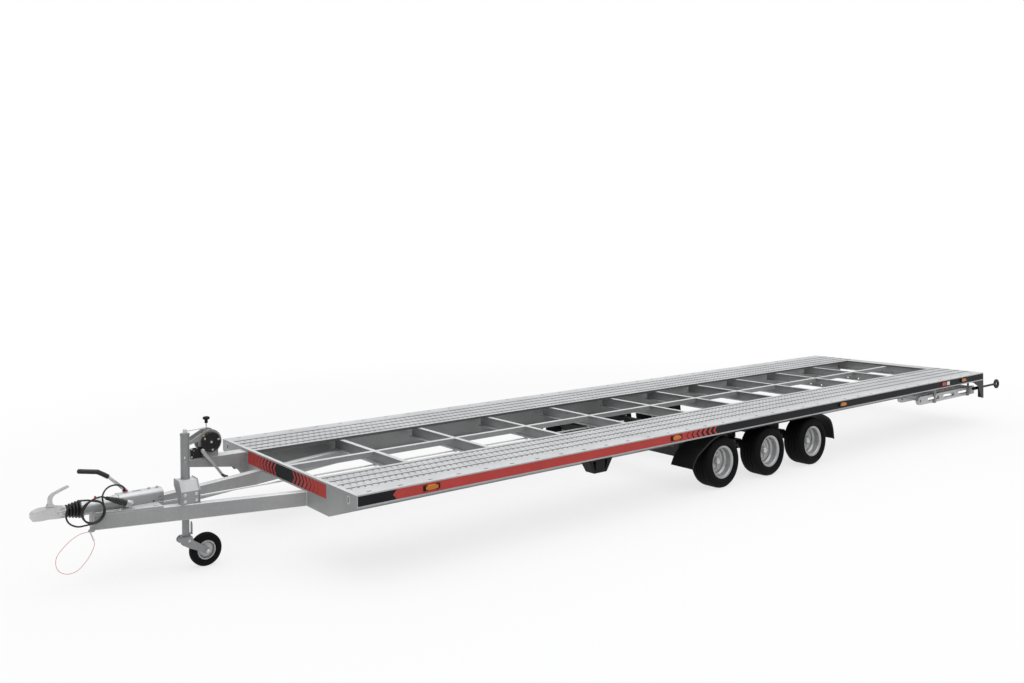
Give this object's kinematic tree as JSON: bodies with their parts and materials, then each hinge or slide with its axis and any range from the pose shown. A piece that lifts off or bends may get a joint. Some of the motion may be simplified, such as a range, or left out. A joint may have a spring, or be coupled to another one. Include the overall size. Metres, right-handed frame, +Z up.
{
  "type": "tri-axle open car hauler trailer",
  "caption": "Open-deck car hauler trailer with ladder frame, perforated wheel tracks, V drawbar, overrun coupling, jockey wheel, winch, mudguards and stowed ramps.",
  "frame": {"origin": "on the ground, midway between the coupling's tip and the eye rod's end and on the centre line", "axes": "+X forward to the coupling, +Y to the left side, +Z up"},
  "size_m": [10.6999, 2.124, 1],
  "materials": {
    "galvanised": "satin galvanised",
    "track_steel": "satin galvanised sheet",
    "rail_paint": "satin",
    "zinc": "zinc plated",
    "jockey_steel": "hot dip galvanised",
    "black_rubber": "matt",
    "tyre": "matt",
    "rim": "silver paint",
    "black_steel": "satin",
    "black_plastic": "moulded",
    "ramp_aluminium": "mill finish",
    "amber": "clear moulded",
    "lamp_red": "clear moulded",
    "red_wire": "plastic coated"
  },
  "bodies": {
    "chassis": {"side_rails": "rail_paint", "front_panel": "galvanised", "rear_panel": "black_steel", "end_sill": "track_steel", "main_beams": "galvanised", "centre_beam": "galvanised", "crossbeams": "galvanised", "outriggers": "galvanised", "track_left": "track_steel", "track_right": "track_steel", "drawbar_left": "galvanised", "drawbar_right": "galvanised", "overrun_housing": "galvanised", "gaiter": "black_rubber", "coupling_head": "zinc", "coupling_handle": "zinc", "handbrake_lever": "zinc", "handbrake_grip": "black_rubber", "plug_holder": "galvanised", "jockey_clamp": "galvanised", "jockey_post": "jockey_steel", "jockey_crank": "zinc", "jockey_knob": "black_plastic", "winch_arm": "galvanised", "winch_frame": "galvanised", "winch_gearbox": "black_steel", "winch_drum": "black_steel", "winch_handle": "zinc", "winch_grip": "black_rubber", "axles": "black_steel", "brake_rod": "zinc", "mudguards": "black_plastic", "wheel_chocks": "black_plastic", "ramp_carriers": "jockey_steel", "eye_rod": "black_steel", "side_lamps": "amber", "rear_lamps": "lamp_red", "lead": "black_rubber", "plug": "black_rubber", "breakaway_cable": "red_wire", "carabiner": "zinc"},
    "jockey_stem_body": {"jockey_stem": "jockey_steel"},
    "jockey_fork_body": {"jockey_fork": "jockey_steel"},
    "jockey_wheel": {"jockey_rim": "rim", "jockey_tyre": "tyre"},
    "ramp_left_body": {"ramp_left": "ramp_aluminium"},
    "ramp_right_body": {"ramp_right": "ramp_aluminium"},
    "wheel_l1": {"tyre_l1": "tyre", "rim_l1": "rim"},
    "wheel_l2": {"tyre_l2": "tyre", "rim_l2": "rim"},
    "wheel_l3": {"tyre_l3": "tyre", "rim_l3": "rim"},
    "wheel_r1": {"tyre_r1": "tyre", "rim_r1": "rim"},
    "wheel_r2": {"tyre_r2": "tyre", "rim_r2": "rim"},
    "wheel_r3": {"tyre_r3": "tyre", "rim_r3": "rim"}
  },
  "joints": [
    {"name": "wheel_l1_spin", "type": "hinge", "parent": "chassis", "child": "wheel_l1", "pos_m": [-0.078, 0.92, 0.2245], "axis": [0, 1, 0], "continuous": true},
    {"name": "wheel_l2_spin", "type": "hinge", "parent": "chassis", "child": "wheel_l2", "pos_m": [-0.76, 0.92, 0.2245], "axis": [0, 1, 0], "continuous": true},
    {"name": "wheel_l3_spin", "type": "hinge", "parent": "chassis", "child": "wheel_l3", "pos_m": [-1.442, 0.92, 0.2245], "axis": [0, 1, 0], "continuous": true},
    {"name": "wheel_r1_spin", "type": "hinge", "parent": "chassis", "child": "wheel_r1", "pos_m": [-0.078, -0.92, 0.2245], "axis": [0, 1, 0], "continuous": true},
    {"name": "wheel_r2_spin", "type": "hinge", "parent": "chassis", "child": "wheel_r2", "pos_m": [-0.76, -0.92, 0.2245], "axis": [0, 1, 0], "continuous": true},
    {"name": "wheel_r3_spin", "type": "hinge", "parent": "chassis", "child": "wheel_r3", "pos_m": [-1.442, -0.92, 0.2245], "axis": [0, 1, 0], "continuous": true},
    {"name": "jockey_height", "type": "slide", "parent": "chassis", "child": "jockey_stem_body", "axis": [0, 0, 1], "range_m": [-0.08, 0.125]},
    {"name": "jockey_castor", "type": "hinge", "parent": "jockey_stem_body", "child": "jockey_fork_body", "pos_m": [4.4, 0.10004, 0.22], "axis": [0, 0, 1], "continuous": true},
    {"name": "jockey_wheel_spin", "type": "hinge", "parent": "jockey_fork_body", "child": "jockey_wheel", "pos_m": [4.265, 0.10004, 0.11], "axis": [0, 1, 0], "continuous": true},
    {"name": "ramp_left_slide", "type": "slide", "parent": "chassis", "child": "ramp_left_body", "axis": [-1, 0, 0], "range_m": [0, 1.2]},
    {"name": "ramp_right_slide", "type": "slide", "parent": "chassis", "child": "ramp_right_body", "axis": [-1, 0, 0], "range_m": [0, 1.2]}
  ]
}
